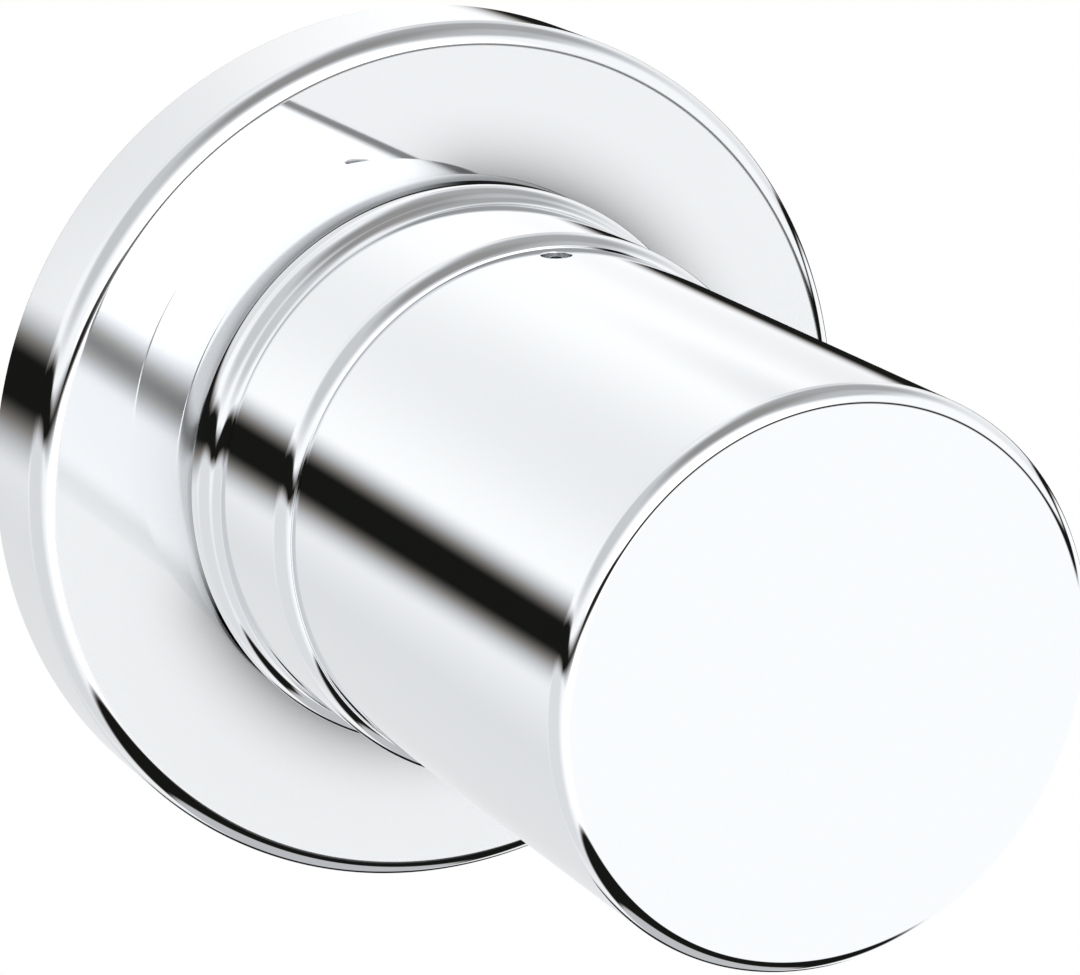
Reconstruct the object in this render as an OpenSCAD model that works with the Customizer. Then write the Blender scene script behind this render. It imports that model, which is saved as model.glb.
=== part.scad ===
// Round shut-off valve for a concealed water pipe: handle, sleeve and rosette on a quarter-turn headwork
// Origin on the valve's axis in the plane of the finished wall, -Y into the room, +Y into the wall, +Z up
// Each piece is drawn along its own axis, where z is the distance from the wall into the room

/* [Rosette] */
// Diameter of the rosette
rosette_d = 75; // [68:1:86]
// Height of the rosette over the wall
rosette_h = 10; // [9:0.5:12]
// Wall of the rosette
rosette_wall = 1.5; // [1.2:0.1:1.8]
// Rounding of the rosette's front edge
rosette_edge_r = 1.9; // [1.8:0.1:3]
// Width of the foam ring behind the rosette
foam_w = 3.5; // [2.5:0.5:5]
// Height of the foam ring
foam_h = 3; // [2:0.5:4]

/* [Handle] */
// Diameter of the handle
handle_d = 44.4; // [43:0.2:48]
// Distance from the wall to the handle's front face
handle_reach = 74.5; // [68:0.5:90]
// Rounding of the handle's front edge
handle_edge_r = 1.4; // [0.8:0.1:3]
// Side wall of the handle
handle_wall = 4.1; // [3.6:0.1:4.4]
// Front wall of the handle
handle_front_wall = 3.5; // [3:0.5:6]
// Radial clearance between handle and sleeve
handle_gap = 0.05; // [0.04:0.01:0.12]
// Play between the handle's shoulder and the slide ring
handle_play = 1; // [0.5:0.1:1.5]
// Play between the handle's spigot and the slide ring's lip
spigot_play = 0.5; // [0.3:0.1:1]

/* [Sleeve] */
// Distance from the wall to the sleeve's front edge
sleeve_reach = 27; // [26:0.5:29]
// Wall of the sleeve
sleeve_wall = 0.9; // [0.8:0.05:1.1]
// Rounding of the sleeve's front edge
sleeve_edge_r = 1.7; // [1.2:0.1:1.8]
// How steep that rounding gets before it ends at the handle, in degrees
sleeve_edge_angle = 60; // [45:1:62]
// How far the sleeve's foot stands out from the tube
collar_step = 1.2; // [1.1:0.05:1.6]
// Radius of the foot's barrel-shaped side
collar_side_r = 7; // [5:0.5:10]
// Lean of that side where it meets the rosette, in degrees
collar_lean = 20; // [12:1:24]
// Rounding from the foot's side into its slope
collar_edge_r = 1.55; // [1:0.05:2]
// Angle of the slope that runs from the foot into the tube
collar_slope = 55; // [48:1:60]
// Thickness of the sleeve's threaded floor
floor_t = 7; // [6:0.5:7.5]
// Part of the floor that lies in front of the rosette
floor_front = 2; // [1.5:0.5:2.5]
// Step between the sleeve's bore and the foot that passes through the rosette
foot_step = 0.8; // [0.6:0.1:1]
// Radial play between that foot and the rosette's hole
foot_play = 0.2; // [0.1:0.05:0.3]
// Cord diameter of the sleeve's O-ring
sleeve_ring_d = 1.8; // [1.4:0.1:2]
// How far the O-ring stands out of the foot
sleeve_ring_out = 0.5; // [0.4:0.1:0.7]
// Thickness of the slide ring
slide_t = 1.4; // [1.2:0.1:1.6]
// Height of the slide ring
slide_h = 6; // [5:0.5:6.5]
// Width of the slide ring's inner lip
slide_lip_w = 1.6; // [1:0.2:2]
// Thickness of the slide ring's inner lip
slide_lip_t = 1; // [0.8:0.1:1.2]

/* [Handle fixing] */
// Thread diameter of the set screw
set_screw_d = 2.5; // [2:0.5:3]
// Length of the set screw
set_screw_l = 4; // [4:0.25:4.5]
// Key size of the set screw
set_key = 1.3; // [0.9:0.1:1.5]
// Diameter of the set screw's point
set_point_d = 1.5; // [1:0.1:1.6]
// Length of the set screw's cone behind the point
set_cone_l = 0.5; // [0.3:0.1:0.8]
// Distance from the sleeve's edge to the set screw
set_screw_in = 2.5; // [2:0.25:4]
// Depth of the set screw's groove in the insert
groove_depth = 0.8; // [0.6:0.1:1]
// Width of the groove
groove_w = 3.4; // [3.2:0.1:4]
// Length of the insert's drum
insert_l = 21.7; // [21:0.1:23]
// Wall of the insert's drum
insert_wall = 2.2; // [2:0.1:2.6]
// Thickness of the insert's disc
insert_disc_t = 3.5; // [3:0.5:5]
// Outside diameter of the insert's hub
hub_d = 15; // [14:0.5:18]
// Thickness of the hub's end in front of the extension
hub_end = 2; // [1.5:0.5:3]
// Step between the insert's seat and the bore in front of it
seat_step = 1.2; // [0.8:0.1:1.6]

/* [Extension] */
// Outside diameter of the spindle extension
extension_d = 13; // [12.4:0.2:14]
// Length of the extension's body
extension_l = 13.4; // [13:0.1:15]
// Length of the extension's spline
extension_spline_l = 12; // [11:0.5:13]
// Thread diameter of the insert screw
screw_d = 4; // [3:0.5:4]
// Depth that the insert screw reaches into the spindle
screw_grip = 13; // [10:0.5:13]
// Head diameter of the insert screw
screw_head_d = 7; // [6:0.5:8]
// Head height of the insert screw
screw_head_h = 4; // [3:0.5:4]
// Key size of the insert screw
screw_key = 3; // [2:0.5:3]
// Outside diameter of the lock washer
washer_d = 7.6; // [7:0.2:9]
// Thickness of the lock washer
washer_t = 0.9; // [0.8:0.1:1.2]
// Width of the lock washer's split
washer_split = 0.5; // [0.3:0.1:0.8]

/* [Carrier bush] */
// Thread diameter between bush and sleeve
bush_d = 28; // [26:1:30]
// Distance from the wall to the bush's front end
bush_reach = 13; // [12.5:0.5:13.5]
// Part of the bush behind the wall plane
bush_back = 2.5; // [2:0.5:3]
// Width across flats of the bush's hexagon
bush_hex = 30; // [28:1:32]
// Length of the bush's hexagon
bush_hex_l = 6; // [5:0.5:7]
// Free bore round the extension
bush_bore = 16; // [15:0.5:17]
// Width across flats of the lock nut
nut_hex = 24; // [22:1:27]
// Thickness of the lock nut
nut_t = 3.5; // [3:0.5:4]

/* [Headwork housing] */
// Outside diameter of the half-inch pipe thread
pipe_d = 20.955; // [20.955:0.001:20.955]
// Length of the pipe thread
pipe_l = 8; // [7:0.5:9]
// Depth of the seat under the hexagon, behind the wall plane
seat_depth = 14; // [13:0.5:16]
// Width across flats of the housing's hexagon
housing_hex = 24; // [24:1:27]
// Length of the housing's hexagon
housing_hex_l = 6; // [5:0.5:7]
// Thread diameter of the housing's neck
neck_d = 18; // [17:0.5:19]
// Distance from the wall to the neck's front end
neck_reach = 9; // [8.6:0.1:9.4]
// Thickness of the gasket under the hexagon
gasket_t = 1.5; // [1:0.25:2]
// Outside diameter of the gasket
gasket_d = 24; // [23:0.25:24]
// Wall of the cage round the discs
cage_wall = 1.4; // [1.2:0.1:1.8]
// Height of the water windows
window_h = 5.5; // [5:0.25:6]
// Width of the water windows
window_w = 9; // [7:0.5:10]
// Distance between the pipe thread and the windows
window_step = 0.5; // [0.5:0.1:1.5]

/* [Spindle] */
// Diameter of the spindle in the neck
spindle_d = 9.9; // [9:0.1:10.2]
// Radial running clearance of the spindle
spindle_gap = 0.05; // [0.03:0.01:0.08]
// Outside diameter of the spline
spline_d = 8; // [7.6:0.2:8.4]
// Depth of the spline's teeth
spline_depth = 0.4; // [0.3:0.05:0.5]
// Number of teeth on the spline
spline_teeth = 20; // [16:1:24]
// Length of the spline
spline_l = 14; // [13.5:0.5:15]
// Radial gap between the spindle's shoulder and the cage
shoulder_gap = 0.6; // [0.3:0.1:1]
// Thickness of the shoulder
shoulder_t = 2; // [1.5:0.25:2.5]
// Thickness of the thrust washer
thrust_t = 1; // [0.8:0.1:1.2]
// Depth of the shoulder's seat behind the housing's seat
thrust_in = 3; // [2:0.5:3.5]
// Diameter of the spindle's shaft between the shoulder and the driver bar
shaft_d = 7; // [6:0.5:7.5]
// Width of the driver bar
bar_w = 3.2; // [2.6:0.2:3.4]
// Height of the driver bar over the disc
bar_h = 2; // [1.5:0.25:2.5]
// Distance between the driver bar's ends and the disc's edge
bar_inset = 0.6; // [0.4:0.1:1]
// Cord diameter of the spindle's O-rings, squeezed in their grooves
ring_d = 1.4; // [1.2:0.05:1.5]
// Play of the O-rings along their grooves, to each side
ring_play = 0.25; // [0.1:0.05:0.4]
// Distance between the spindle's two O-rings
ring_pitch = 5; // [4:0.5:7]
// Distance from the wall plane to the middle of the O-rings, into the room
ring_mid = 0.5; // [-1:0.5:1]

/* [Stop and circlip] */
// Turning range of the valve
turn_angle = 90; // [90:1:90]
// Width of the stop lug
lug_angle = 30; // [25:1:40]
// Play between lug and stop at each end
lug_play = 2; // [1:0.5:3]
// Thickness of the stop ring
stop_t = 2.2; // [1.8:0.1:2.2]
// Outside diameter of the stop ring without its lug
stop_d = 11; // [10.4:0.2:11.4]
// Diameter of the recess in which the lug turns
recess_d = 15.2; // [14.6:0.2:15.4]
// Depth of the recess
recess_h = 2.5; // [2.4:0.05:2.6]
// Thickness of the circlip
clip_t = 0.9; // [0.8:0.05:1]
// Outside diameter of the circlip
clip_d = 12; // [11:0.5:12.4]
// Inside diameter of the circlip
clip_bore = 6.4; // [6:0.1:6.6]
// Angle of the circlip's opening
clip_opening = 50; // [40:5:70]

/* [Discs] */
// Diameter of the turning disc
disc_d = 14.6; // [13.6:0.2:16]
// Radial gap between the turning disc and the cage
disc_gap = 0.3; // [0.2:0.05:0.5]
// Thickness of the turning disc
disc_t = 4; // [3.5:0.25:4.25]
// Depth of the driver slot in the turning disc
slot_depth = 1.6; // [1.2:0.1:1.8]
// Thickness of the fixed disc
fixed_t = 3; // [2.5:0.25:3]
// Inner radius of the disc windows
port_r0 = 2.2; // [2:0.1:2.6]
// Outer radius of the disc windows
port_r1 = 6; // [5.4:0.1:6]
// Angle of each disc window
port_angle = 80; // [70:1:84]
// Width of the fixed disc's lugs
key_w = 3; // [2.4:0.2:3.4]
// Distance between the lugs' ends and the cage's outside
key_inset = 0.3; // [0.2:0.1:0.6]
// Inside diameter of the seat seal
seal_bore = 12.2; // [12.2:0.1:12.6]
// How far the seat seal stands out of the cage
seal_out = 1; // [0.6:0.1:1.2]
// Depth of the seat seal inside the cage
seal_in = 2; // [1.5:0.25:2]

/* [Hidden] */

$fn = 96;
// Clearances of pieces that are fixed together, slide on each other, turn past each other or are screwed
seat_gap = 0.03;
slip_gap = 0.06;
turn_gap = 0.05;
thread_gap = 0.03;
// Radial clearance round the insert screw, and inside the lock washer
screw_gap = 0.2;
washer_gap = 0.15;
// Gaps along the axis: circlip to extension, extension to insert, neck to the bottom of the bush's bore
extension_gap = 0.5;
insert_gap = 0.3;
neck_gap = 0.2;
// Gaps at the stop ring: round its lug, and between the ring and the stops
lug_gap = 0.25;
stop_gap = 0.2;
// Smallest inside rounding of a pressed edge
least_edge = 0.2;
// Chamfer of a hexagon's corners as a share of their height over the flats, and its slope
chamfer_share = 0.9;
chamfer_slope = 0.6;
// Overshoot of a cut past the faces it opens
cut = 1;

// Rosette and sleeve
rosette_r = rosette_d / 2;
handle_r = handle_d / 2;
sleeve_bore_r = handle_r + handle_gap;
sleeve_r = sleeve_bore_r + sleeve_wall;
collar_r = sleeve_r + collar_step;
collar_widest_z = rosette_h + collar_side_r * sin(collar_lean);
collar_slope_z = collar_widest_z + collar_edge_r * sin(collar_slope);
collar_slope_r = collar_r - collar_edge_r * (1 - cos(collar_slope));
cove_r = collar_step / (1 - cos(collar_slope)) - collar_edge_r;
cove_z = collar_slope_z + cove_r * sin(collar_slope);
foot_r = sleeve_bore_r - foot_step;
floor_top = rosette_h + floor_front;
floor_bottom = floor_top - floor_t;
sleeve_ring_r = sleeve_ring_d / 2;
sleeve_ring_z = rosette_h - rosette_wall - sleeve_ring_r - seat_gap;
sleeve_ring_mid_r = foot_r + sleeve_ring_out - sleeve_ring_r;
slide_bore_r = sleeve_bore_r - slide_t;

// Handle
handle_bore_r = handle_r - handle_wall;
handle_back = floor_top + slide_h + handle_play;
spigot_r = slide_bore_r - slip_gap;
spigot_end = floor_top + slide_lip_t + spigot_play;
set_screw_z = sleeve_reach + set_screw_in;

// Spline, extension and insert
spline_r = spline_d / 2;
spindle_top = neck_reach - recess_h - seat_gap + spline_l;
clip_z = neck_reach + turn_gap;
extension_z = clip_z + clip_t + extension_gap;
extension_top = extension_z + extension_l;
extension_end = extension_top + extension_spline_l;
hub_front = extension_end + seat_gap + hub_end;
insert_back = extension_top + insert_gap;
insert_front = insert_back + insert_l;
insert_r = handle_bore_r - seat_gap;
groove_r = insert_r - groove_depth;
screw_r = screw_d / 2;
head_z = hub_front + washer_t;
screw_tip = spindle_top - screw_grip;

// Bush and housing
bush_r = bush_d / 2;
neck_r = neck_d / 2;
pipe_r = pipe_d / 2;
seat_z = -seat_depth;
hex_front = seat_z + housing_hex_l;
pipe_front = seat_z - gasket_t;
cage_front = pipe_front - pipe_l;
cage_bore_r = disc_d / 2 + disc_gap;
cage_r = cage_bore_r + cage_wall;
window_front = cage_front - window_step;
disc_front = window_front - window_h;
disc_back = disc_front - disc_t;
fixed_front = disc_back - turn_gap;
fixed_back = fixed_front - fixed_t;
cage_back = fixed_back - seal_in;
seal_back = cage_back - seal_out;

// Spindle
spindle_r = spindle_d / 2;
neck_bore_r = spindle_r + spindle_gap;
thrust_front = seat_z - thrust_in;
shoulder_front = thrust_front - thrust_t - turn_gap;
shoulder_back = shoulder_front - shoulder_t;
shoulder_r = cage_bore_r - shoulder_gap;
spindle_front = neck_reach - recess_h - seat_gap;
ring_r = ring_d / 2;
ring_mid_r = neck_bore_r - turn_gap - ring_r;
bar_back = disc_front - slot_depth + seat_gap;
bar_front = disc_front + bar_h;
bar_l = disc_d - 2 * bar_inset;
recess_bottom = neck_reach - recess_h;
recess_r = recess_d / 2;
lug_r = recess_r - lug_gap;

function turn(r, a) = [r * cos(a), r * sin(a)];

// Corner radius of a hexagon from its width across flats
function corner_r(flats) = flats / sqrt(3);

// Star outline of the spline with triangular teeth
function spline_points(tip, root) =
    [for (i = [0 : 2 * spline_teeth - 1]) turn(i % 2 == 0 ? tip : root, i * 180 / spline_teeth)];

// Turns a piece's own axis from +Z to -Y, so that z is the distance from the wall into the room
module axial() {
    rotate([90, 0, 0]) children();
}

module tube(z0, z1, outer, inner) {
    translate([0, 0, z0]) difference() {
        cylinder(r = outer, h = z1 - z0);
        translate([0, 0, -cut]) cylinder(r = inner, h = z1 - z0 + 2 * cut);
    }
}

module disc(z0, z1, r) {
    translate([0, 0, z0]) cylinder(r = r, h = z1 - z0);
}

// Hexagon with both ends chamfered
module hexagon(z0, z1, flats) {
    r = corner_r(flats);
    edge = (r - flats / 2) * chamfer_share;
    slope = edge * chamfer_slope;
    intersection() {
        translate([0, 0, z0]) cylinder(r = r, h = z1 - z0, $fn = 6);
        rotate_extrude() polygon([[0, z0], [r - edge, z0], [r, z0 + slope],
                                  [r, z1 - slope], [r - edge, z1], [0, z1]]);
    }
}

// Half outline from the axis out to r, from z0 to z1, with its front outer corner rounded
module rounded_half(z0, z1, r, edge) {
    translate([0, z0]) square([r, z1 - z0 - edge]);
    translate([0, z0]) square([r - edge, z1 - z0]);
    translate([r - edge, z1 - edge]) circle(r = edge);
}

// Sector of a ring between two radii, centred on angle mid
module sector(z0, z1, r0, r1, mid, angle) {
    rotate([0, 0, mid - angle / 2]) translate([0, 0, z0])
        rotate_extrude(angle = angle) translate([r0, 0]) square([r1 - r0, z1 - z0]);
}

module torus(mid_r, z, r) {
    translate([0, 0, z]) rotate_extrude() translate([mid_r, 0]) circle(r = r, $fn = 32);
}

module spline(z0, z1, gap = 0) {
    translate([0, 0, z0]) linear_extrude(height = z1 - z0)
        polygon(spline_points(spline_r + gap, spline_r - spline_depth + gap));
}

// Pressed cup with a round hole in its middle
module rosette() {
    inner_edge = max(rosette_edge_r - rosette_wall, least_edge);
    color("#dfe1e4") axial() rotate_extrude() difference() {
        rounded_half(0, rosette_h, rosette_r, rosette_edge_r);
        rounded_half(-cut, rosette_h - rosette_wall, rosette_r - rosette_wall, inner_edge);
        square([foot_r + foot_play, rosette_h + cut]);
    }
}

module foam_ring() {
    outer = rosette_r - rosette_wall - seat_gap;
    color("#33363a") axial() tube(0, foam_h, outer, outer - foam_w);
}

// Part of a round outline, from height z up to height z1, of radius size about the point [r, mid]
module round_part(r, mid, size, z, z1) {
    intersection() {
        translate([r, mid]) circle(r = size);
        translate([0, z]) square([r + size, z1 - z]);
    }
}

// Half outline of the sleeve: barrel-shaped foot that runs into the tube in a hollow, and a rounded front edge
module sleeve_half() {
    edge_z = sleeve_reach - sleeve_edge_r * sin(sleeve_edge_angle);
    round_part(collar_r - collar_side_r, collar_widest_z, collar_side_r, rosette_h, collar_widest_z);
    round_part(collar_r - collar_edge_r, collar_widest_z, collar_edge_r, rosette_h, collar_slope_z);
    round_part(sleeve_r - sleeve_edge_r, edge_z, sleeve_edge_r, cove_z, sleeve_reach);
    difference() {
        polygon([[0, rosette_h], [collar_r - collar_edge_r, rosette_h], [collar_slope_r, collar_slope_z],
                 [sleeve_r, cove_z], [sleeve_r, edge_z], [0, edge_z]]);
        round_part(sleeve_r + cove_r, cove_z, cove_r, collar_slope_z, cove_z);
    }
}

// Tube with a wider foot, and a threaded floor that passes through the rosette
module sleeve() {
    color("#dfe1e4") axial() difference() {
        rotate_extrude() {
            sleeve_half();
            translate([0, floor_bottom]) square([foot_r, floor_t]);
        }
        disc(floor_top, sleeve_reach + cut, sleeve_bore_r);
        disc(floor_bottom - cut, floor_top + cut, bush_r + thread_gap);
        torus(sleeve_ring_mid_r, sleeve_ring_z, sleeve_ring_r + seat_gap);
    }
}

module sleeve_o_ring() {
    color("#1c1d1f") axial() torus(sleeve_ring_mid_r, sleeve_ring_z, sleeve_ring_r);
}

// Bearing ring for the handle's spigot, with an inner lip at its foot
module slide_ring() {
    color("#e9e8e3") axial() {
        difference() {
            disc(floor_top, floor_top + slide_h, sleeve_bore_r - seat_gap);
            disc(floor_top + slide_lip_t, floor_top + slide_h + cut, slide_bore_r);
            disc(floor_top - cut, floor_top + cut + slide_h, slide_bore_r - slide_lip_w);
        }
    }
}

// Cast handle, hollow from the back, with a seat for the insert and a cross hole for its set screw
module handle() {
    color("#dfe1e4") axial() difference() {
        union() {
            rotate_extrude() rounded_half(handle_back, handle_reach, handle_r, handle_edge_r);
            disc(spigot_end, handle_back + cut, spigot_r);
        }
        disc(spigot_end - cut, insert_front + seat_gap, handle_bore_r);
        disc(insert_front, handle_reach - handle_front_wall, handle_bore_r - seat_step);
        translate([0, 0, set_screw_z]) rotate([-90, 0, 0]) cylinder(d = set_screw_d, h = handle_r + cut);
    }
}

module handle_set_screw() {
    tip = groove_r + seat_gap;
    set_r = set_screw_d / 2 - thread_gap;
    color("#8d9196") axial() translate([0, 0, set_screw_z]) rotate([-90, 0, 0]) difference() {
        union() {
            translate([0, 0, tip]) cylinder(r1 = set_point_d / 2, r2 = set_r, h = set_cone_l);
            disc(tip + set_cone_l, tip + set_screw_l, set_r);
        }
        translate([0, 0, tip + set_screw_l / 2]) cylinder(r = corner_r(set_key), h = set_screw_l, $fn = 6);
    }
}

// Plastic drum that fills the handle's bore, on a splined hub
module handle_insert() {
    disc_back_z = hub_front - insert_disc_t;
    color("#d9d8d2") axial() difference() {
        union() {
            tube(insert_back, insert_front, insert_r, insert_r - insert_wall);
            disc(disc_back_z, hub_front, insert_r - insert_wall / 2);
            disc(insert_back, hub_front, hub_d / 2);
        }
        spline(insert_back - cut, extension_end + seat_gap, turn_gap);
        disc(insert_back, hub_front + cut, screw_r + screw_gap);
        tube(set_screw_z - groove_w / 2, set_screw_z + groove_w / 2, insert_r + cut, groove_r);
    }
}

module insert_screw() {
    color("#a9adb2") axial() difference() {
        union() {
            disc(screw_tip, head_z + screw_head_h / 4, screw_r);
            disc(head_z, head_z + screw_head_h, screw_head_d / 2);
        }
        translate([0, 0, head_z + screw_head_h / 2])
            cylinder(r = corner_r(screw_key), h = screw_head_h, $fn = 6);
    }
}

// Spring washer with a slanted split
module lock_washer() {
    color("#8d9196") axial() difference() {
        tube(hub_front, head_z, washer_d / 2, screw_r + washer_gap);
        translate([washer_d / 2, 0, hub_front + washer_t / 2]) rotate([30, 0, 0])
            cube([washer_d, washer_split, 3 * washer_t], center = true);
    }
}

module spindle_extension() {
    color("#c8a24c") axial() difference() {
        union() {
            disc(extension_z, extension_top, extension_d / 2);
            spline(extension_top - cut, extension_end);
        }
        spline(extension_z - cut, spindle_top + seat_gap, turn_gap);
        disc(extension_z, extension_end + cut, screw_r + screw_gap);
    }
}

// Brass bush that carries the sleeve on the headwork's neck
module carrier_bush() {
    color("#c8a24c") axial() difference() {
        union() {
            disc(-bush_back, bush_reach, bush_r);
            hexagon(-bush_back, bush_hex_l - bush_back, bush_hex);
        }
        disc(-bush_back - cut, neck_reach + neck_gap, neck_r + thread_gap);
        disc(neck_reach, bush_reach + cut, bush_bore / 2);
    }
}

module lock_nut() {
    color("#c8a24c") axial() difference() {
        hexagon(-bush_back - nut_t, -bush_back, nut_hex);
        disc(-bush_back - nut_t - cut, -bush_back + cut, neck_r + thread_gap);
    }
}

// Turned housing: neck, hexagon, pipe thread and a cage with two water windows
module headwork_housing() {
    stop_angle = 360 - turn_angle - lug_angle - 2 * lug_play;
    stop_mid = 90 + turn_angle / 2 + 180;
    stop_r = stop_d / 2 + stop_gap;
    color("#c8a24c") axial() difference() {
        union() {
            hex_mid = (seat_z + hex_front) / 2;
            disc(hex_mid, neck_reach, neck_r);
            hexagon(seat_z, hex_front, housing_hex);
            disc(cage_back, hex_mid, cage_r);
            disc(cage_front, pipe_front, pipe_r);
        }
        disc(thrust_front - cut, neck_reach + cut, neck_bore_r);
        disc(cage_back - cut, thrust_front, cage_bore_r);
        difference() {
            disc(recess_bottom, neck_reach + cut, recess_r);
            sector(recess_bottom - cut, neck_reach, stop_r, recess_r + cut, stop_mid, stop_angle);
        }
        translate([-window_w / 2, -cage_r - cut, disc_front])
            cube([window_w, 2 * (cage_r + cut), window_h]);
        translate([-cage_r - cut, -key_w / 2 - slip_gap, cage_back - cut])
            cube([2 * (cage_r + cut), key_w + 2 * slip_gap, fixed_front - cage_back + cut]);
    }
}

module housing_gasket() {
    color("#2b2d30") axial() tube(pipe_front, seat_z, gasket_d / 2, pipe_r + slip_gap);
}

// Spindle with its spline, two ring grooves, a shoulder and a driver bar
module spindle() {
    groove_half = ring_r + ring_play;
    color("#c8a24c") axial() difference() {
        union() {
            disc(shoulder_back, spindle_front, spindle_r);
            spline(spindle_front - cut, spindle_top);
            disc(shoulder_back, shoulder_front, shoulder_r);
            disc(bar_front - cut / 2, shoulder_back + cut, shaft_d / 2);
            translate([-bar_l / 2, -bar_w / 2, bar_back]) cube([bar_l, bar_w, bar_front - bar_back]);
        }
        for (side = [-1, 1]) {
            mid = ring_mid + side * ring_pitch / 2;
            tube(mid - groove_half, mid + groove_half, spindle_r + cut, ring_mid_r - ring_r - seat_gap);
        }
        tube(clip_z - seat_gap, clip_z + clip_t + seat_gap, spline_r + cut, clip_bore / 2 - seat_gap);
        disc(screw_tip - cut, spindle_top + cut, screw_r + thread_gap);
    }
}

module spindle_o_rings() {
    color("#1c1d1f") axial() for (side = [-1, 1])
        torus(ring_mid_r, ring_mid + side * ring_pitch / 2, ring_r);
}

module thrust_washer() {
    color("#e9e8e3") axial() tube(thrust_front - thrust_t, thrust_front, shoulder_r, neck_bore_r);
}

// Splined ring whose lug ends the quarter turn
module stop_ring() {
    z0 = recess_bottom + turn_gap;
    color("#c8a24c") axial() difference() {
        union() {
            disc(z0, z0 + stop_t, stop_d / 2);
            sector(z0, z0 + stop_t, stop_d / 2 - cut, lug_r, 90, lug_angle);
        }
        spline(z0 - cut, z0 + stop_t + cut, turn_gap);
    }
}

module circlip() {
    color("#8d9196") axial() difference() {
        tube(clip_z, clip_z + clip_t, clip_d / 2, clip_bore / 2);
        sector(clip_z - cut, clip_z + clip_t + cut, clip_bore / 4, clip_d, 270, clip_opening);
    }
}

module ports(z0, z1, mid) {
    for (side = [0, 180]) sector(z0, z1, port_r0, port_r1, mid + side, port_angle);
}

// Ceramic disc that turns with the spindle; closed while its windows stand crosswise to the fixed ones
module rotating_disc() {
    color("#efede4") axial() difference() {
        disc(disc_back, disc_front, disc_d / 2);
        ports(disc_back - cut, disc_front + cut, 90);
        translate([-disc_d, -bar_w / 2 - seat_gap, disc_front - slot_depth])
            cube([2 * disc_d, bar_w + 2 * seat_gap, slot_depth + cut]);
    }
}

module fixed_disc() {
    color("#efede4") axial() difference() {
        union() {
            disc(fixed_back, fixed_front, cage_bore_r - seat_gap);
            translate([key_inset - cage_r, -key_w / 2, fixed_back])
                cube([2 * (cage_r - key_inset), key_w, fixed_t]);
        }
        ports(fixed_back - cut, fixed_front + cut, 0);
    }
}

module seat_seal() {
    color("#1c1d1f") axial() tube(seal_back, fixed_back, cage_bore_r - seat_gap, seal_bore / 2);
}

rosette();
foam_ring();
sleeve();
sleeve_o_ring();
slide_ring();
handle();
handle_set_screw();
handle_insert();
insert_screw();
lock_washer();
spindle_extension();
carrier_bush();
lock_nut();
headwork_housing();
housing_gasket();
spindle();
spindle_o_rings();
thrust_washer();
stop_ring();
circlip();
rotating_disc();
fixed_disc();
seat_seal();
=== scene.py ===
# Shut-off valve for a concealed pipe: chrome rosette, sleeve and handle on a quarter-turn brass headwork
# Settings are in millimetres and degrees. The valve's axis is Y, and "out" is the distance from the wall
import math

import bmesh
import bpy
from mathutils import Matrix, Vector


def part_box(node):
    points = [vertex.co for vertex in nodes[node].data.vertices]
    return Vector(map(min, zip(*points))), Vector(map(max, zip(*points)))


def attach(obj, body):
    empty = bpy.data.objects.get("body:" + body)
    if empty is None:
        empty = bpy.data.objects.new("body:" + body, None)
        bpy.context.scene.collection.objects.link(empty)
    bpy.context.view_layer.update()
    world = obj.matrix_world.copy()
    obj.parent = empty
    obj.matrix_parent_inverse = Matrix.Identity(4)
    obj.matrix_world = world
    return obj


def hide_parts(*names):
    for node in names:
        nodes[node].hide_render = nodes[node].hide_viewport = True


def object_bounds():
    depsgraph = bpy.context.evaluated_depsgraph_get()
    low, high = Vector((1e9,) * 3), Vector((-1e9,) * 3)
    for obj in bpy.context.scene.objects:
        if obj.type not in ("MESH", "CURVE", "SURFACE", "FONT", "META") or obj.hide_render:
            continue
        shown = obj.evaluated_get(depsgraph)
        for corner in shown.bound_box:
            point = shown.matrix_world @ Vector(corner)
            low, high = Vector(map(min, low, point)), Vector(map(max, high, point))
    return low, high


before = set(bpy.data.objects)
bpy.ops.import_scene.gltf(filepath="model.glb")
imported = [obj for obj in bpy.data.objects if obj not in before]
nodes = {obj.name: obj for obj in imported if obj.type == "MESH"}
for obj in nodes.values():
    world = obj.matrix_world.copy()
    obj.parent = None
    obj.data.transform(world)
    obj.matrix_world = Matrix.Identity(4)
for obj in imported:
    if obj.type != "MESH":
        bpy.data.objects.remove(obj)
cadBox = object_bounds()
mm = 0.001
print("frame loaded:", len(nodes), "nodes")


def linear(hexColor):
    # sRGB hex value to the linear colour that the shaders take
    parts = [int(hexColor[i:i + 2], 16) / 255 for i in (1, 3, 5)]
    return [p / 12.92 if p < 0.04045 else ((p + 0.055) / 1.055) ** 2.4 for p in parts] + [1]


def addNode(tree, kind, inputs=None, **settings):
    # a node, a socket or a plain value may be given for each input
    node = tree.nodes.new("ShaderNode" + kind)
    for name, value in settings.items():
        setattr(node, name, value)
    for socket, value in (inputs or {}).items():
        if isinstance(value, bpy.types.Node):
            value = value.outputs[0]
        if isinstance(value, bpy.types.NodeSocket):
            tree.links.new(value, node.inputs[socket])
        else:
            node.inputs[socket].default_value = value
    return node


def reach(name):
    # outer radius, back end and front end of a node, as distances from the axis and from the wall
    low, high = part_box(name)
    return high.x / mm, -high.y / mm, -low.y / mm


def towards(azimuth, elevation):
    # unit vector of a direction; azimuth 0 is into the wall, 90 to the right, 180 into the room
    a, e = math.radians(azimuth), math.radians(elevation)
    return Vector((math.sin(a) * math.cos(e), math.cos(a) * math.cos(e), math.sin(e)))


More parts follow.
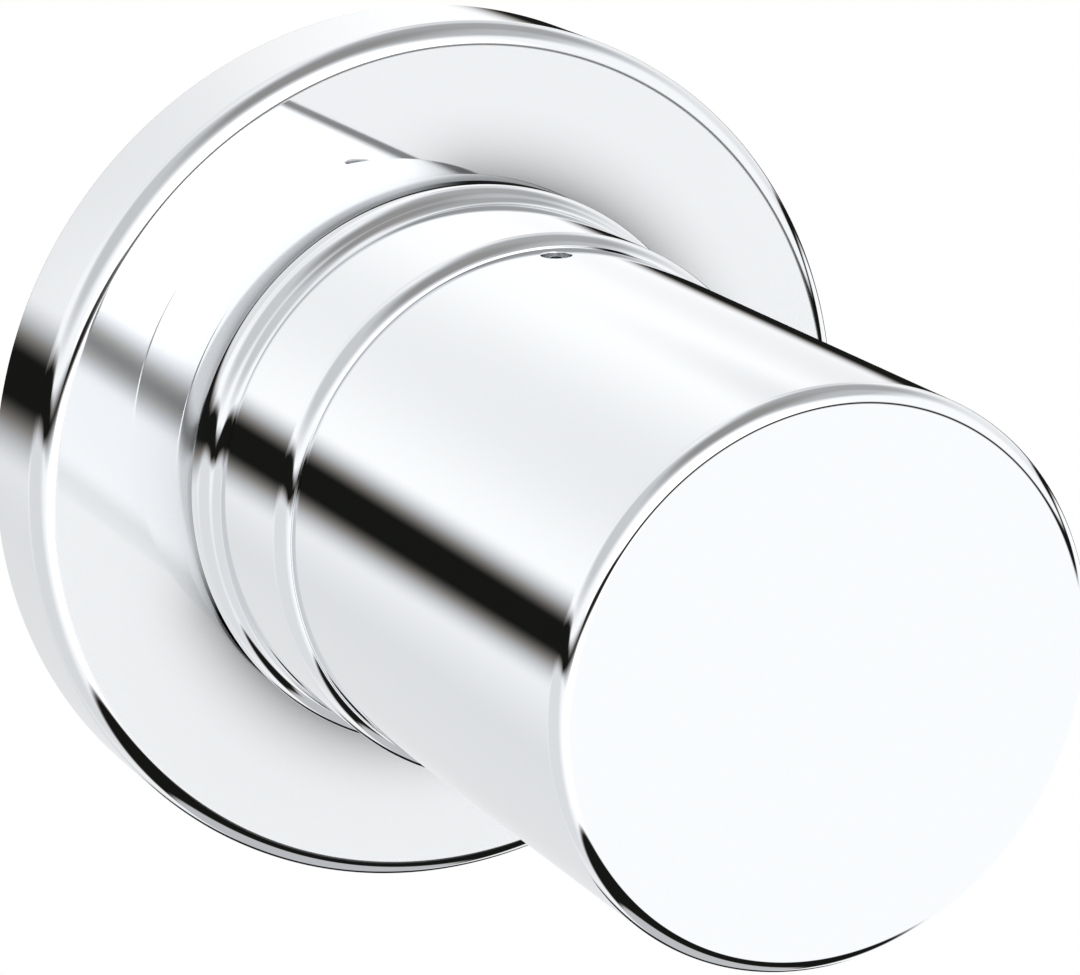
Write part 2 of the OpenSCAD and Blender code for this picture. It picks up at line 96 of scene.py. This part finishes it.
# Camera, as the photograph was taken
cameraSet = {"azimuth": -26.02, "elevation": 16.53, "distance": 345.94, "aim": (0.98, -24.53, 1.45),
             "lens": 140.69, "sensor": 36, "clip": 20}


def placeCamera():
    data = bpy.data.cameras.new("camera")
    data.lens = cameraSet["lens"]
    data.sensor_width = cameraSet["sensor"]
    data.clip_start = cameraSet["clip"] * mm
    camera = bpy.data.objects.new("camera", data)
    bpy.context.scene.collection.objects.link(camera)
    back = towards(180 - cameraSet["azimuth"], cameraSet["elevation"])
    camera.location = (Vector(cameraSet["aim"]) + back * cameraSet["distance"]) * mm
    camera.rotation_euler = (-back).to_track_quat("-Z", "Y").to_euler()
    bpy.context.scene.camera = camera
    bpy.context.scene.view_settings.view_transform = "Standard"


# White light tent with a dark slot all round, which is what polished chrome shows in a studio.
# A level is a share of the tent's white, and the tint gives each level its colour. Walls and floor have soft
# round patches, each at its level inside "core" and gone at "edge". In the lamps, which are such patches too,
# the tent shines brighter. The ovals lie on the tent's floor: their unit is the valve's height above it, and
# "blur" is how soft they end. A row of the slot is an azimuth, then the heights where the slot starts to
# darken, is black, stops being black and is white again
blackCloth = 0.004
studio = {
    "strength": 1.25,
    "slotLevel": blackCloth,
    "slot": [(-180, -9, -5, -1, 3), (-165, -8, -3, 1, 6), (-150, -12, -2.5, -4, 6), (-120, -7, -3, 1, 6),
             (-100, -5, 0.5, 7.5, 13), (-80, -4, 2, 10, 16), (-60, -6, 0.5, 7.5, 14),
             (-30, -13, -4.4, 0.4, 9), (0, -16, -11, -3, 2), (22, -18, -15, 3, 8), (30, -19, -16.5, -4, 3),
             (60, -8, -4, 0, 4), (80, -2, 1.5, 4.5, 7), (100, -9, -6, -2, 1), (120, -14, -11, -7, -4),
             (150, -11, -4.5, -1.5, 4.5), (180, -9, -5, -1, 3)],
    "walls": [{"azimuth": 80, "elevation": 16, "core": 12, "edge": 34, "level": 0.84},
              {"azimuth": 42, "elevation": 10, "core": 8, "edge": 20, "level": 0.82},
              {"azimuth": 30, "elevation": 32, "core": 6, "edge": 14, "level": 0.7},
              {"azimuth": 80, "elevation": 64, "core": 18, "edge": 44, "level": 0.4},
              {"azimuth": 135, "elevation": 50, "core": 10, "edge": 24, "level": 0.52},
              {"azimuth": -100, "elevation": 50, "core": 22, "edge": 46, "level": 0.6},
              {"azimuth": -170, "elevation": 74, "core": 12, "edge": 38, "level": 0.3},
              {"azimuth": -20, "elevation": 38, "core": 8, "edge": 32, "level": 0.85},
              {"azimuth": 0, "elevation": 0, "core": 18, "edge": 28, "level": 0.74}],
    "floor": [{"azimuth": -80, "elevation": -25, "core": 28, "edge": 54, "level": 0.74},
              {"azimuth": -4, "elevation": -31, "core": 14, "edge": 42, "level": 0.73},
              {"azimuth": 20, "elevation": -26, "core": 6, "edge": 30, "level": 0.69}],
    "lamps": [{"azimuth": 180, "elevation": 13, "core": 24, "edge": 32, "level": 1.75},
              {"azimuth": -160, "elevation": -23, "core": 11, "edge": 21, "level": 1.3}],
    "ovals": [{"middle": (0.08, -0.55), "size": (0.77, 0.86), "level": blackCloth},  # towards the room
              {"middle": (0.3, 0.85), "size": (0.42, 0.5), "level": blackCloth},  # towards the wall
              {"middle": (0.08, 0.02), "size": (0.36, 0.46), "level": 0.52}],  # grey mat under the valve
    "blur": 0.09,
    "tint": [(0, "#0F110E"), (0.2, "#7A7672"), (0.55, "#C3C4C6"), (1, "#FFFFFF")],
    "backdrop": "#FFFFFF",
}


def patchedLevel(tree, direction, patches):
    # white with soft round patches of another level, one over the other
    level = 1
    for patch in patches:
        middle = towards(patch["azimuth"], patch["elevation"])
        cosine = addNode(tree, "VectorMath", {0: direction, 1: middle}, operation="DOT_PRODUCT")
        angle = addNode(tree, "Math", {0: cosine.outputs["Value"]}, operation="ARCCOSINE")
        away = addNode(tree, "Math", {0: angle}, operation="DEGREES")
        share = addNode(tree, "MapRange", {"Value": away, "From Min": patch["core"],
                                           "From Max": patch["edge"], "To Min": 1, "To Max": 0},
                        interpolation_type="SMOOTHSTEP")
        level = addNode(tree, "Mix", {0: share, 2: level, 3: patch["level"]})
    return level


def insideOval(tree, across, along, oval):
    # 1 inside an oval that lies on the tent's floor, 0 outside
    spans = []
    for axis, socket in enumerate((across, along)):
        offset = addNode(tree, "Math", {0: socket, 1: oval["middle"][axis]}, operation="SUBTRACT")
        spans.append(addNode(tree, "Math", {0: offset, 1: oval["size"][axis]}, operation="DIVIDE"))
    both = addNode(tree, "CombineXYZ", {0: spans[0], 1: spans[1]})
    away = addNode(tree, "VectorMath", {0: both}, operation="LENGTH").outputs["Value"]
    return addNode(tree, "MapRange", {"Value": away, "From Min": 1 - studio["blur"],
                                      "From Max": 1 + studio["blur"], "To Min": 1, "To Max": 0},
                   interpolation_type="SMOOTHSTEP")


def slotCurve(tree, turn, column):
    # one column of the slot's list as a smooth curve over the azimuth
    heights = [row[column] for row in studio["slot"]]
    lowest, highest = min(heights), max(heights)
    curve = addNode(tree, "FloatCurve", {"Value": turn})
    points = curve.mapping.curves[0].points
    for row in studio["slot"][1:-1]:
        points.new(row[0] / 360 + 0.5, 0)
    for point, height in zip(points, heights):
        point.location = (point.location[0], (height - lowest) / (highest - lowest))
    curve.mapping.update()
    return addNode(tree, "MapRange", {"Value": curve, "To Min": lowest, "To Max": highest})


def lightStudio():
    world = bpy.data.worlds.new("lightTent")
    bpy.context.scene.world = world
    world.use_nodes = True
    tree = world.node_tree
    tree.nodes.clear()
    direction = addNode(tree, "TexCoord").outputs["Generated"]
    x, y, z = addNode(tree, "SeparateXYZ", {0: direction}).outputs
    sine = addNode(tree, "Math", {0: z}, operation="ARCSINE")
    height = addNode(tree, "Math", {0: sine}, operation="DEGREES")
    azimuth = addNode(tree, "Math", {0: x, 1: y}, operation="ARCTAN2")
    turn = addNode(tree, "Math", {0: azimuth, 1: 0.5 / math.pi, 2: 0.5}, operation="MULTIPLY_ADD")

    # the tent above the slot, and below it, where a direction meets the floor "across" and "along" from here
    up = patchedLevel(tree, direction, studio["walls"])
    down = patchedLevel(tree, direction, studio["floor"])
    drop = addNode(tree, "Math", {0: z, 1: -1}, operation="MULTIPLY")
    depth = addNode(tree, "Math", {0: drop, 1: 0.001}, operation="MAXIMUM")  # never 0, to divide by
    across = addNode(tree, "Math", {0: x, 1: depth}, operation="DIVIDE")
    along = addNode(tree, "Math", {0: y, 1: depth}, operation="DIVIDE")
    for oval in studio["ovals"]:
        share = insideOval(tree, across, along, oval)
        down = addNode(tree, "Mix", {0: share, 2: down, 3: oval["level"]})

    fadeIn, low, high, fadeOut = (slotCurve(tree, turn, column) for column in (1, 2, 3, 4))
    middle = addNode(tree, "Math", {0: low, 1: high}, operation="ADD")
    centre = addNode(tree, "Math", {0: middle, 1: 2}, operation="DIVIDE")
    side = addNode(tree, "Math", {0: height, 1: centre}, operation="GREATER_THAN")
    base = addNode(tree, "Mix", {0: side, 2: down, 3: up})
    below = addNode(tree, "MapRange", {"Value": height, "From Min": fadeIn, "From Max": low},
                    interpolation_type="SMOOTHSTEP")
    above = addNode(tree, "MapRange", {"Value": height, "From Min": high, "From Max": fadeOut, "To Min": 1,
                                       "To Max": 0}, interpolation_type="SMOOTHSTEP")
    share = addNode(tree, "Math", {0: below, 1: above}, operation="MULTIPLY")
    level = addNode(tree, "Mix", {0: share, 2: base, 3: studio["slotLevel"]})

    tint = addNode(tree, "ValToRGB", {0: level})
    stops = tint.color_ramp.elements
    for place, shade in studio["tint"][1:-1]:
        stops.new(place).color = linear(shade)
    stops[0].color = linear(studio["tint"][0][1])
    stops[len(stops) - 1].color = linear(studio["tint"][-1][1])
    power = patchedLevel(tree, direction, studio["lamps"])
    strength = addNode(tree, "Math", {0: power, 1: studio["strength"]}, operation="MULTIPLY")
    tent = addNode(tree, "Background", {"Color": tint, "Strength": strength})
    backdrop = addNode(tree, "Background", {"Color": linear(studio["backdrop"]), "Strength": 1})
    seen = addNode(tree, "LightPath").outputs["Is Camera Ray"]
    mixed = addNode(tree, "MixShader", {0: seen, 1: tent, 2: backdrop})
    addNode(tree, "OutputWorld", {"Surface": mixed})


# Plain white floor, well under the valve, which hangs on its pipe. The chrome mirrors the tent instead of it
floorSet = {"size": 4000, "under": 60, "color": "#FFFFFF"}


def layFloor():
    bm = bmesh.new()
    bmesh.ops.create_grid(bm, x_segments=1, y_segments=1, size=floorSet["size"] / 2 * mm)
    low = cadBox[0].z - floorSet["under"] * mm
    bmesh.ops.translate(bm, verts=bm.verts, vec=(0, 0, low))
    mesh = bpy.data.meshes.new("floor")
    bm.to_mesh(mesh)
    bm.free()
    floor = bpy.data.objects.new("floor", mesh)
    bpy.context.scene.collection.objects.link(floor)
    paint = bpy.data.materials.new("whiteFloor")
    paint.use_nodes = True
    tree = paint.node_tree
    tree.nodes.clear()
    glow = addNode(tree, "Emission", {"Color": linear(floorSet["color"]), "Strength": 1})
    addNode(tree, "OutputMaterial", {"Surface": glow})
    mesh.materials.append(paint)
    floor.visible_glossy = False


placeCamera()
lightStudio()
layFloor()
print("camera, tent and floor are up")


# Grains and tool marks below are sizes in millimetres. The real ones measure a few hundredths of one and
# wouldn't show, so they are drawn coarser
def newMaterial(name, **settings):
    # an empty material with its Principled shader, and Object coordinates in millimetres
    material = bpy.data.materials.new(name)
    material.use_nodes = True
    tree = material.node_tree
    tree.nodes.clear()
    shader = addNode(tree, "BsdfPrincipled", settings)
    addNode(tree, "OutputMaterial", {"Surface": shader})
    place = addNode(tree, "TexCoord").outputs["Object"]
    scaled = addNode(tree, "VectorMath", {0: place, "Scale": 1 / mm}, operation="SCALE")
    return material, tree, shader, scaled.outputs[0]


# Polished chrome plate: a clear, slightly cool mirror, a little less sharp where a cloth left faint smears
chromeSet = {"color": "#E2E4E6", "clean": 0.01, "smeared": 0.03, "smear": 8.3}


def chromePlate(name):
    material, tree, shader, place = newMaterial(name, **{
        "Base Color": linear(chromeSet["color"]), "Metallic": 1})
    smear = addNode(tree, "TexNoise", {"Vector": place, "Scale": 1 / chromeSet["smear"], "Detail": 3})
    rough = addNode(tree, "MapRange", {"Value": smear, "To Min": chromeSet["clean"],
                                       "To Max": chromeSet["smeared"]})
    tree.links.new(rough.outputs[0], shader.inputs["Roughness"])
    return material, tree, shader, place


# The rosette's face is the same plate, but polished on a flat mop: a fine white haze washes out what it
# mirrors, beside the clear curved edges. A soft shadow is painted into its colour round the sleeve's foot and
# ends in a painted black line of shade at the joint. The painted shade is weaker in the direction in which
# the face mirrors the foot
faceSet = {"color": "#DEE0E2", "haze": 0.32, "hazeStart": 0.06, "shade": 0.58, "shadeWidth": 7.5,
           "shadeFall": 2.5, "paintedJointShade": -0.12, "paintedJointShadeSoft": 0.12, "dark": "#000000", "mirrored": -56,
           "spread": (42, 60), "left": 0.25}


def paintedFootShade(tree, x, z):
    # how dark the painted shade makes the face, from its place across the axis
    foot = reach("sleeve")[0]
    across = addNode(tree, "CombineXYZ", {0: x, 1: z})
    radius = addNode(tree, "VectorMath", {0: across}, operation="LENGTH").outputs["Value"]
    close = addNode(tree, "MapRange", {"Value": radius, "From Min": foot,
                                       "From Max": foot + faceSet["shadeWidth"], "To Min": 1, "To Max": 0})
    fall = addNode(tree, "Math", {0: close, 1: faceSet["shadeFall"]}, operation="POWER")
    soft = addNode(tree, "Math", {0: fall, 1: faceSet["shade"]}, operation="MULTIPLY")
    # a painted black line of shade right beside the foot, standing in for the shade in the narrow wedge where
    # the foot meets the face
    edge = foot + faceSet["paintedJointShade"]
    paintedJointShade = addNode(tree, "MapRange", {"Value": radius, "From Min": edge,
                                       "From Max": edge + faceSet["paintedJointShadeSoft"], "To Min": 1, "To Max": 0},
                    interpolation_type="SMOOTHSTEP")
    both = addNode(tree, "Math", {0: soft, 1: paintedJointShade}, operation="MAXIMUM")
    turned = math.radians(faceSet["mirrored"])
    unit = addNode(tree, "VectorMath", {0: across}, operation="NORMALIZE")
    cosine = addNode(tree, "VectorMath", {0: unit, 1: (math.sin(turned), math.cos(turned), 0)},
                     operation="DOT_PRODUCT").outputs["Value"]
    # the painted shade is weaker on the side where the face mirrors the foot
    inner, outer = (math.cos(math.radians(angle)) for angle in faceSet["spread"])
    weight = addNode(tree, "MapRange", {"Value": cosine, "From Min": outer, "From Max": inner, "To Min": 1,
                                        "To Max": faceSet["left"]}, interpolation_type="SMOOTHSTEP")
    return addNode(tree, "Math", {0: both, 1: weight}, operation="MULTIPLY")


def hazedFace():
    material, tree, shader, place = chromePlate("polishedChromeFace")
    x, y, z = addNode(tree, "SeparateXYZ", {0: place}).outputs
    # the haze lies on the flat face only: it starts where the rounding ends
    face = -reach("rosette")[2]
    metal = addNode(tree, "MapRange", {"Value": y, "From Min": face + faceSet["hazeStart"], "From Max": face,
                                       "To Min": 1, "To Max": 1 - faceSet["haze"]})
    # the face's colour, darkened towards black by the painted shade round the foot
    tone = addNode(tree, "Mix", {0: paintedFootShade(tree, x, z), 6: linear(faceSet["color"]),
                                 7: linear(faceSet["dark"])}, data_type="RGBA")
    tree.links.new(metal.outputs[0], shader.inputs["Metallic"])
    tree.links.new(tone.outputs[2], shader.inputs["Base Color"])
    return material


# Free-cutting brass, turned on an automatic lathe: warm yellow with fine rings from the tool, and darker
# where it is stained
brassSet = {"color": "#D9B56C", "stained": "#B98F45", "crest": 0.168, "groove": 0.336, "ring": 0.35,
            "stain": 6.25}


def turnedBrass():
    material, tree, shader, place = newMaterial("turnedBrass", Metallic=1)
    x, y, z = addNode(tree, "SeparateXYZ", {0: place}).outputs
    flat = addNode(tree, "CombineXYZ", {0: x, 1: z})
    radius = addNode(tree, "VectorMath", {0: flat}, operation="LENGTH").outputs["Value"]
    profile = addNode(tree, "CombineXYZ", {0: radius, 1: y})
    rings = addNode(tree, "TexNoise", {"Vector": profile, "Scale": 1 / brassSet["ring"], "Detail": 2})
    stain = addNode(tree, "TexNoise", {"Vector": place, "Scale": 1 / brassSet["stain"], "Detail": 4})
    tone = addNode(tree, "Mix", {0: stain, 6: linear(brassSet["color"]), 7: linear(brassSet["stained"])},
                   data_type="RGBA")
    rough = addNode(tree, "MapRange", {"Value": rings, "To Min": brassSet["crest"],
                                       "To Max": brassSet["groove"]})
    bump = addNode(tree, "Bump", {"Height": rings, "Strength": 0.25, "Distance": 0.03 * mm})
    tree.links.new(tone.outputs[2], shader.inputs["Base Color"])
    tree.links.new(rough.outputs[0], shader.inputs["Roughness"])
    tree.links.new(bump.outputs[0], shader.inputs["Normal"])
    return material


# Stainless steel screws and spring parts, machined and tumbled: grey, with a soft grainy shine
steelSet = {"color": "#B9BBBD", "crest": 0.21, "pit": 0.39, "grain": 0.2}


def stainlessSteel():
    material, tree, shader, place = newMaterial("stainlessSteel", **{
        "Base Color": linear(steelSet["color"]), "Metallic": 1})
    grain = addNode(tree, "TexNoise", {"Vector": place, "Scale": 1 / steelSet["grain"], "Detail": 3})
    rough = addNode(tree, "MapRange", {"Value": grain, "To Min": steelSet["crest"],
                                       "To Max": steelSet["pit"]})
    bump = addNode(tree, "Bump", {"Height": grain, "Strength": 0.15, "Distance": 0.02 * mm})
    tree.links.new(rough.outputs[0], shader.inputs["Roughness"])
    tree.links.new(bump.outputs[0], shader.inputs["Normal"])
    return material


# Acetal, injection moulded: creamy white, waxy, with the fine grain of an eroded mould
acetalSet = {"color": "#E6E3DA", "clouded": "#DBD7CB", "roughness": 0.38, "glow": 2, "grain": 0.25,
             "cloud": 6.7}


def mouldedAcetal():
    material, tree, shader, place = newMaterial("mouldedAcetal", **{
        "Roughness": acetalSet["roughness"], "IOR": 1.48, "Subsurface Weight": 0.08,
        "Subsurface Scale": acetalSet["glow"] * mm})
    grain = addNode(tree, "TexNoise", {"Vector": place, "Scale": 1 / acetalSet["grain"], "Detail": 2})
    cloud = addNode(tree, "TexNoise", {"Vector": place, "Scale": 1 / acetalSet["cloud"], "Detail": 2})
    tone = addNode(tree, "Mix", {0: cloud, 6: linear(acetalSet["color"]), 7: linear(acetalSet["clouded"])},
                   data_type="RGBA")
    bump = addNode(tree, "Bump", {"Height": grain, "Strength": 0.2, "Distance": 0.03 * mm})
    tree.links.new(tone.outputs[2], shader.inputs["Base Color"])
    tree.links.new(bump.outputs[0], shader.inputs["Normal"])
    return material


# Nitrile rubber, moulded: near black with a dull sheen and a faint grey bloom
rubberSet = {"color": "#191A1C", "bloom": "#303235", "roughness": 0.55, "grain": 0.4}


def nitrileRubber():
    material, tree, shader, place = newMaterial("nitrileRubber", **{
        "Roughness": rubberSet["roughness"], "IOR": 1.52})
    grain = addNode(tree, "TexNoise", {"Vector": place, "Scale": 1 / rubberSet["grain"], "Detail": 4})
    tone = addNode(tree, "Mix", {0: grain, 6: linear(rubberSet["color"]), 7: linear(rubberSet["bloom"])},
                   data_type="RGBA")
    bump = addNode(tree, "Bump", {"Height": grain, "Strength": 0.3, "Distance": 0.04 * mm})
    tree.links.new(tone.outputs[2], shader.inputs["Base Color"])
    tree.links.new(bump.outputs[0], shader.inputs["Normal"])
    return material


# Closed-cell foam, cut from sheet: matt charcoal with small open cells on the cut faces, with painted shade
# inside the cells
foamSet = {"color": "#34373B", "poreShade": "#1B1D20", "roughness": 0.95, "size": 0.45, "pore": (0.15, 0.6)}


def closedCellFoam():
    material, tree, shader, place = newMaterial("closedCellFoam", Roughness=foamSet["roughness"])
    cells = addNode(tree, "TexVoronoi", {"Vector": place, "Scale": 1 / foamSet["size"]})
    middle, wall = foamSet["pore"]
    depth = addNode(tree, "MapRange", {"Value": cells.outputs["Distance"], "From Min": middle,
                                       "From Max": wall})
    # the cells' middles are painted darker: painted shade in the open pores
    tone = addNode(tree, "Mix", {0: depth, 6: linear(foamSet["poreShade"]), 7: linear(foamSet["color"])},
                   data_type="RGBA")
    bump = addNode(tree, "Bump", {"Height": depth, "Strength": 0.8, "Distance": 0.15 * mm})
    tree.links.new(tone.outputs[2], shader.inputs["Base Color"])
    tree.links.new(bump.outputs[0], shader.inputs["Normal"])
    return material


# Alumina, sintered and lapped: ivory, hard and smooth with a low even gloss
ceramicSet = {"color": "#EFECE2", "speck": "#E2DDCF", "lapped": 0.096, "pore": 0.224, "grain": 0.3}


def lappedAlumina():
    material, tree, shader, place = newMaterial("lappedAlumina", IOR=1.76)
    grain = addNode(tree, "TexNoise", {"Vector": place, "Scale": 1 / ceramicSet["grain"], "Detail": 3})
    tone = addNode(tree, "Mix", {0: grain, 6: linear(ceramicSet["color"]), 7: linear(ceramicSet["speck"])},
                   data_type="RGBA")
    rough = addNode(tree, "MapRange", {"Value": grain, "To Min": ceramicSet["lapped"],
                                       "To Max": ceramicSet["pore"]})
    tree.links.new(tone.outputs[2], shader.inputs["Base Color"])
    tree.links.new(rough.outputs[0], shader.inputs["Roughness"])
    return material


# What all pieces share: points closer than "weld" become one, points within "near" of a circle belong to it,
# and faces that meet at more than "hard" degrees have a hard edge between them
meshSet = {"weld": 0.001, "near": 0.01, "hard": 25}


def spunShape(outline, closed, steps):
    # turns an outline of (radius, out) corners round the valve's axis
    bm = bmesh.new()
    corners = [bm.verts.new((radius * mm, -out * mm, 0)) for radius, out in outline]
    pairs = zip(corners, corners[1:] + corners[:1]) if closed else zip(corners, corners[1:])
    edges = [bm.edges.new(pair) for pair in pairs]
    bmesh.ops.spin(bm, geom=corners + edges, cent=(0, 0, 0), axis=(0, 1, 0), angle=2 * math.pi, steps=steps,
                   use_merge=True)
    bmesh.ops.remove_doubles(bm, verts=bm.verts, dist=meshSet["weld"] * mm)
    bmesh.ops.recalc_face_normals(bm, faces=bm.faces)
    return bm


def roundEdge(bm, radius, out, size, segments):
    # rounds the circular edge at that radius and distance from the wall
    near = meshSet["near"] * mm
    ring = {v for v in bm.verts if abs(math.hypot(v.co.x, v.co.z) - radius * mm) < near
            and abs(v.co.y + out * mm) < near}
    edges = [e for e in bm.edges if e.verts[0] in ring and e.verts[1] in ring]
    bmesh.ops.bevel(bm, geom=edges, offset=size * mm, offset_type="OFFSET", segments=segments, profile=0.5,
                    affect="EDGES", material=-1)


def finishPiece(bm, name, material, body, node):
    # smooth faces that keep every flat a true mirror, with hard edges where the metal has them
    for face in bm.faces:
        face.smooth = True
    for edge in bm.edges:
        edge.smooth = len(edge.link_faces) == 2 and edge.calc_face_angle() < math.radians(meshSet["hard"])
    mesh = bpy.data.meshes.new(name)
    bm.to_mesh(mesh)
    bm.free()
    mesh.materials.append(material)
    piece = bpy.data.objects.new(name, mesh)
    bpy.context.scene.collection.objects.link(piece)
    weighted = piece.modifiers.new("mirrorFlats", "WEIGHTED_NORMAL")
    weighted.keep_sharp = True
    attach(piece, body)
    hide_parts(node)
    return piece


# Rosette: pressed cup, open at the back, with a hole over which the sleeve's O-ring grips
rosetteSet = {"wall": 1.5, "edge": 1.9, "rim": 0.25, "grip": 0.3, "steps": 360,
              "edgeSegments": 20, "rimSegments": 4, "insideSegments": 8}


def pressRosette(material):
    radius, back, front = reach("rosette")
    s = rosetteSet
    inside = radius - s["wall"]
    floor = front - s["wall"]
    hole = reach("sleeve_o_ring")[0] - s["grip"]
    bm = spunShape([(hole, front), (radius, front), (radius, back), (inside, back), (inside, floor),
                    (hole, floor)], True, s["steps"])
    roundEdge(bm, radius, front, s["edge"], s["edgeSegments"])
    roundEdge(bm, radius, back, s["rim"], s["rimSegments"])
    roundEdge(bm, inside, floor, s["edge"] - s["wall"], s["insideSegments"])
    cup = finishPiece(bm, "rosette_cup", material, "wall_set", "rosette")
    # the photograph shows no image of the rosette in the sleeve and the handle, which are bright down to it
    for hidden in (cup, nodes["foam_ring"]):
        hidden.visible_glossy = False


# Sleeve: turned tube with a barrel-shaped foot, which runs into the tube in a hollow, a front edge rounded
# down to the handle, and a threaded floor that passes through the rosette. The foot's side leans in to the
# rosette and ends in a small rounding, the heel. The real gap at the mouth is 0.05 mm wide and would show as
# a black line that the photograph doesn't have, so it is drawn narrower
sleeveSet = {"seat": 0.03, "mouth": 0.012, "wall": 0.9, "side": 7, "lean": 20, "crown": 1.55, "slope": 55,
             "heel": 0.12, "edge": 1.7, "edgeSlope": 60, "step": 0.8, "floor": 2, "thread": 14.03,
             "steps": 320, "roundSegments": 14, "sideSegments": 8, "heelSegments": 4}


def turnSleeve(material):
    widest, back, front = reach("sleeve")
    foot = reach("rosette")[2]
    s = sleeveSet
    bore = reach("slide_ring")[0] + s["seat"]
    tube = bore + s["wall"]
    through = bore - s["step"]
    mouth = reach("handle")[0] + s["mouth"]
    floor = foot + s["floor"]
    lean, slope, edgeSlope = (math.radians(s[name]) for name in ("lean", "slope", "edgeSlope"))
    # each rounding starts as a corner, and takes up this much of the lines on both sides of it
    sideCut = s["side"] * math.tan(lean / 2)
    crownCut = s["crown"] * math.tan(slope / 2)
    edgeCut = s["edge"] * math.tan(edgeSlope / 2)
    slopeLength = (widest - tube) / math.sin(slope)
    heel = widest - sideCut * math.sin(lean)
    sideOut = foot + sideCut * math.cos(lean)
    crownOut = sideOut + sideCut + crownCut
    coveOut = crownOut + slopeLength * math.cos(slope)
    edgeOut = front - edgeCut * math.cos(edgeSlope)
    bm = spunShape([(through, back), (through, foot), (heel, foot), (widest, sideOut), (widest, crownOut),
                    (tube, coveOut), (tube, edgeOut), (tube - edgeCut * math.sin(edgeSlope), front),
                    (mouth, front), (mouth, floor), (s["thread"], floor), (s["thread"], back)],
                   True, s["steps"])
    roundEdge(bm, heel, foot, s["heel"], s["heelSegments"])
    roundEdge(bm, widest, sideOut, sideCut - s["heel"], s["sideSegments"])
    roundEdge(bm, widest, crownOut, crownCut, s["roundSegments"])
    roundEdge(bm, tube, coveOut, slopeLength - crownCut, s["roundSegments"])
    roundEdge(bm, tube, edgeOut, edgeCut, s["roundSegments"])
    finishPiece(bm, "sleeve_tube", material, "wall_set", "sleeve")


# Handle: cast and turned, closed at the front, with a spigot that turns in the slide ring and a threaded hole
# for its set screw, which opens in a small rounded countersink. "ring" is the slide ring's wall and its play,
# "step" the ledge that the insert sits on, and the guard keeps the hole's cut in a narrow band of the surface
handleSet = {"front": 3.5, "edge": 1.4, "play": 1, "ring": 1.43, "seat": 0.03, "step": 1.2, "hole": 1.25,
             "flare": 0.08, "past": 1, "guard": 1.7, "steps": 360, "edgeSegments": 20, "holeSteps": 48,
             "flareSegments": 5}


def drillHole(bm, out, surface, bore):
    # cuts a round hole through the wall at the top, square to the axis
    s = handleSet
    bottom, flare, over = bore - s["past"], surface - s["flare"], surface + s["flare"]
    drill = spunShape([(0, bottom), (s["hole"], bottom), (s["hole"], flare),
                       (s["hole"] + s["flare"] * 2, over), (0, over)], False, s["holeSteps"])
    roundEdge(drill, s["hole"], flare, s["flare"], s["flareSegments"])
    bmesh.ops.rotate(drill, verts=drill.verts, cent=(0, 0, 0), matrix=Matrix.Rotation(-math.pi / 2, 3, "X"))
    bmesh.ops.translate(drill, verts=drill.verts, vec=(0, -out * mm, 0))
    shapes = []
    for part, name in ((bm, "blank"), (drill, "drill")):
        mesh = bpy.data.meshes.new(name)
        part.to_mesh(mesh)
        part.free()
        shapes.append(bpy.data.objects.new(name, mesh))
        bpy.context.scene.collection.objects.link(shapes[-1])
    cut = shapes[0].modifiers.new("hole", "BOOLEAN")
    cut.object = shapes[1]
    drilled = bmesh.new()
    drilled.from_object(shapes[0], bpy.context.evaluated_depsgraph_get())
    for shape in shapes:
        bpy.data.objects.remove(shape)
    return drilled


def castHandle(material):
    radius, spigotEnd, front = reach("handle")
    ringRadius, _, ringFront = reach("slide_ring")
    insertRadius, _, insertFront = reach("handle_insert")
    _, screwBack, screwFront = reach("handle_set_screw")
    s = handleSet
    back = ringFront + s["play"]
    spigot = ringRadius - s["ring"]
    bore = insertRadius + s["seat"]
    ledge = insertFront + s["seat"]
    hollow = bore - s["step"]
    inside = front - s["front"]
    holeOut = (screwBack + screwFront) / 2
    bm = spunShape([(0, front), (radius, front), (radius, holeOut + s["guard"]),
                    (radius, holeOut - s["guard"]), (radius, back), (spigot, back), (spigot, spigotEnd),
                    (bore, spigotEnd), (bore, ledge), (hollow, ledge), (hollow, inside), (0, inside)],
                   False, s["steps"])
    roundEdge(bm, radius, front, s["edge"], s["edgeSegments"])
    bm = drillHole(bm, holeOut, radius, bore)
    finishPiece(bm, "handle_cap", material, "turning_set", "handle")


mirror = chromePlate("polishedChrome")[0]
pressRosette(hazedFace())
turnSleeve(mirror)
castHandle(mirror)
print("chrome pieces are turned")

finishes = (
    (turnedBrass(), ("spindle_extension", "carrier_bush", "lock_nut", "headwork_housing", "spindle",
                     "stop_ring")),
    (stainlessSteel(), ("handle_set_screw", "insert_screw", "lock_washer", "circlip")),
    (mouldedAcetal(), ("slide_ring", "handle_insert", "thrust_washer")),
    (nitrileRubber(), ("sleeve_o_ring", "housing_gasket", "spindle_o_rings", "seat_seal")),
    (closedCellFoam(), ("foam_ring",)),
    (lappedAlumina(), ("rotating_disc", "fixed_disc")),
    (mirror, ("rosette", "sleeve", "handle")),
)
for material, names in finishes:
    for name in names:
        nodes[name].data.materials.clear()
        nodes[name].data.materials.append(material)
print("materials are on", sum(len(names) for material, names in finishes), "nodes")
